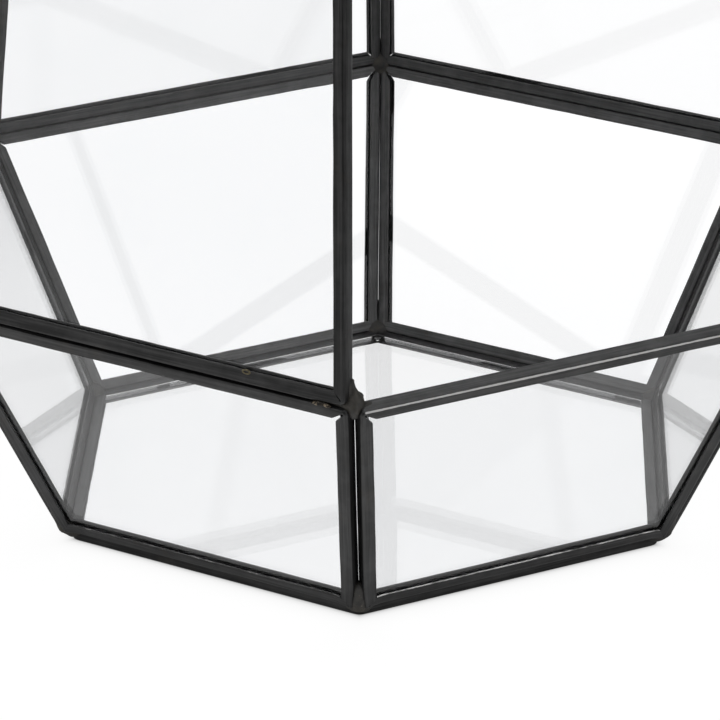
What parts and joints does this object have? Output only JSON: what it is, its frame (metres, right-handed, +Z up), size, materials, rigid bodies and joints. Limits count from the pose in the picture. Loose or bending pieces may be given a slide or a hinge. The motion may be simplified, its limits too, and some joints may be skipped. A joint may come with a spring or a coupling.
{
  "type": "glass cloche",
  "caption": "Faceted hexagonal glass cloche in blackened metal channel, with flared lower walls, an open upper side for access, a pitched roof and a loose lifting ring.",
  "frame": {"origin": "on the ground, at the centre of the hexagonal base", "axes": "+Z up; -Y towards the corner that faces the viewer; the open upper side lies between that corner and the next one towards +X"},
  "size_m": [0.2444, 0.2814, 0.3235],
  "materials": {
    "blackened_channel": "satin black patina, streaked along the channel, bare at the folds",
    "blackened_solder": "rough dark solder with brown and bright specks",
    "blackened_wire": "satin black wire",
    "clear_glass": "clear float glass with faint green edges"
  },
  "bodies": {
    "cloche": {"apex_cap": "blackened_solder", "channel_base": "blackened_channel", "channel_lower_back_left": "blackened_channel", "channel_lower_back_right": "blackened_channel", "channel_lower_front_left": "blackened_channel", "channel_lower_front_right": "blackened_channel", "channel_lower_left": "blackened_channel", "channel_lower_right": "blackened_channel", "channel_roof_back_left": "blackened_channel", "channel_roof_back_right": "blackened_channel", "channel_roof_front_left": "blackened_channel", "channel_roof_front_right": "blackened_channel", "channel_roof_left": "blackened_channel", "channel_roof_right": "blackened_channel", "channel_upper_back_left": "blackened_channel", "channel_upper_back_right": "blackened_channel", "channel_upper_front_left": "blackened_channel", "channel_upper_left": "blackened_channel", "channel_upper_right": "blackened_channel", "glass_base": "clear_glass", "glass_lower_back_left": "clear_glass", "glass_lower_back_right": "clear_glass", "glass_lower_front_left": "clear_glass", "glass_lower_front_right": "clear_glass", "glass_lower_left": "clear_glass", "glass_lower_right": "clear_glass", "glass_roof_back_left": "clear_glass", "glass_roof_back_right": "clear_glass", "glass_roof_front_left": "clear_glass", "glass_roof_front_right": "clear_glass", "glass_roof_left": "clear_glass", "glass_roof_right": "clear_glass", "glass_upper_back_left": "clear_glass", "glass_upper_back_right": "clear_glass", "glass_upper_front_left": "clear_glass", "glass_upper_left": "clear_glass", "glass_upper_right": "clear_glass", "lifting_eye": "blackened_wire", "solder_base_back": "blackened_solder", "solder_base_front": "blackened_solder", "solder_base_left_back": "blackened_solder", "solder_base_left_front": "blackened_solder", "solder_base_right_back": "blackened_solder", "solder_base_right_front": "blackened_solder", "solder_mid_back": "blackened_solder", "solder_mid_front": "blackened_solder", "solder_mid_left_back": "blackened_solder", "solder_mid_left_front": "blackened_solder", "solder_mid_right_back": "blackened_solder", "solder_mid_right_front": "blackened_solder", "solder_shoulder_back": "blackened_solder", "solder_shoulder_front": "blackened_solder", "solder_shoulder_left_back": "blackened_solder", "solder_shoulder_left_front": "blackened_solder", "solder_shoulder_right_back": "blackened_solder", "solder_shoulder_right_front": "blackened_solder"},
    "lifting_ring": {"lifting_ring": "blackened_wire"}
  },
  "joints": [
    {"name": "ring_swing", "type": "hinge", "parent": "cloche", "child": "lifting_ring", "pos_m": [0, 0, 0.3194], "axis": [1, 0, 0], "range_deg": [0, 250]}
  ]
}
